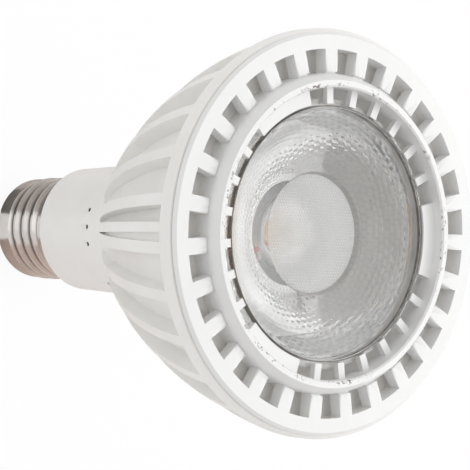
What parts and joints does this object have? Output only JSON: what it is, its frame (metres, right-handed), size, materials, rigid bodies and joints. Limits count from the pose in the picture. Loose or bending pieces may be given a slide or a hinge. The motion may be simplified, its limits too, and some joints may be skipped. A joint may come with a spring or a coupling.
{
  "type": "par spotlight bulb",
  "caption": "Reflector-shaped LED spotlight bulb: ribbed white heat sink, vented front bezel round a clear lens bowl, plastic neck and a nickel screw cap.",
  "frame": {"origin": "on the lamp's axis at the neck's shoulder, where the screw shell leaves the neck and the lamp stops against its holder", "axes": "+Z along the lamp's axis towards the light, so the screw cap points to -Z; +X through the middle of one closed block of the bezel's inner floor"},
  "size_m": [0.095, 0.095, 0.1224],
  "materials": {
    "nickel_plate": "bright nickel plate on rolled sheet",
    "black_glass": "black cap glass",
    "contact_metal": "tinned contact",
    "neck_plastic": "white moulded plastic, satin",
    "white_coating": "white powder coat on cast aluminium",
    "bezel_plastic": "white moulded plastic, semi-gloss",
    "clear_lens": "clear moulded optical plastic",
    "holder_plastic": "white moulded plastic",
    "screw_steel": "zinc-plated screw",
    "thermal_sheet": "grey heat-transfer sheet",
    "emitter_plate": "bright emitter plate",
    "dam_silicone": "white silicone ring",
    "phosphor": "orange-yellow phosphor layer",
    "board_laminate": "green laminate",
    "ferrite": "dark ferrite",
    "winding_tape": "yellow tape over the coil",
    "capacitor_sleeve": "dark sleeve",
    "resistor_coat": "lacquered body",
    "choke_coat": "sleeved drum",
    "chip_epoxy": "black moulded epoxy",
    "live_sleeve": "brown insulation",
    "neutral_sleeve": "white insulation",
    "positive_sleeve": "red insulation",
    "negative_sleeve": "black insulation"
  },
  "bodies": {
    "root": {"screw_shell": "nickel_plate", "cap_insulator": "black_glass", "centre_contact": "contact_metal", "neck_housing": "neck_plastic", "heat_sink": "white_coating", "front_bezel": "bezel_plastic", "lens": "clear_lens", "lens_holder": "holder_plastic", "holder_screws": "screw_steel", "thermal_pad": "thermal_sheet", "led_substrate": "emitter_plate", "led_dam": "dam_silicone", "led_phosphor": "phosphor", "driver_board": "board_laminate", "transformer_core": "ferrite", "transformer_winding": "winding_tape", "input_capacitor": "capacitor_sleeve", "output_capacitor": "capacitor_sleeve", "fuse_resistor": "resistor_coat", "filter_choke": "choke_coat", "bridge_rectifier": "chip_epoxy", "controller_chip": "chip_epoxy", "live_wire": "live_sleeve", "neutral_wire": "neutral_sleeve", "positive_wire": "positive_sleeve", "negative_wire": "negative_sleeve"}
  },
  "joints": []
}
